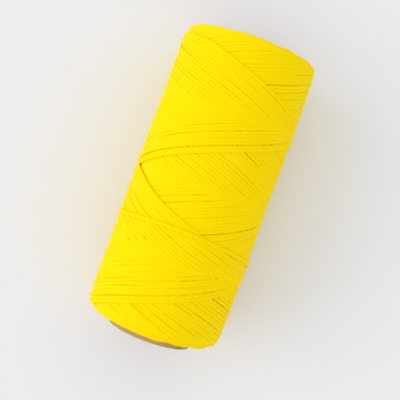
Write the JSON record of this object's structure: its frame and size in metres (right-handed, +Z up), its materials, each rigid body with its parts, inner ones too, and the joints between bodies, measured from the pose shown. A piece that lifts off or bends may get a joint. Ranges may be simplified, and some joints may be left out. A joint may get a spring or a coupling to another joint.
{
  "type": "fishing line spool",
  "caption": "Cross-wound package of yellow cord on a plain spiral card tube with an open bore and no flanges, lying on its side.",
  "frame": {"origin": "bottom centre of the spool as it lies on its side, on the surface that it lies on", "axes": "+X along the tube, towards the end where the winding is nearly flush with the tube; +Z up"},
  "size_m": [0.1334, 0.06, 0.0599],
  "materials": {
    "card_face": "matte",
    "card_board": "matte",
    "cord": "satin"
  },
  "bodies": {
    "root": {"liner": "card_face", "board": "card_board", "wrapper": "card_face", "inner_winding": "cord", "outer_turns": "cord"}
  },
  "joints": []
}
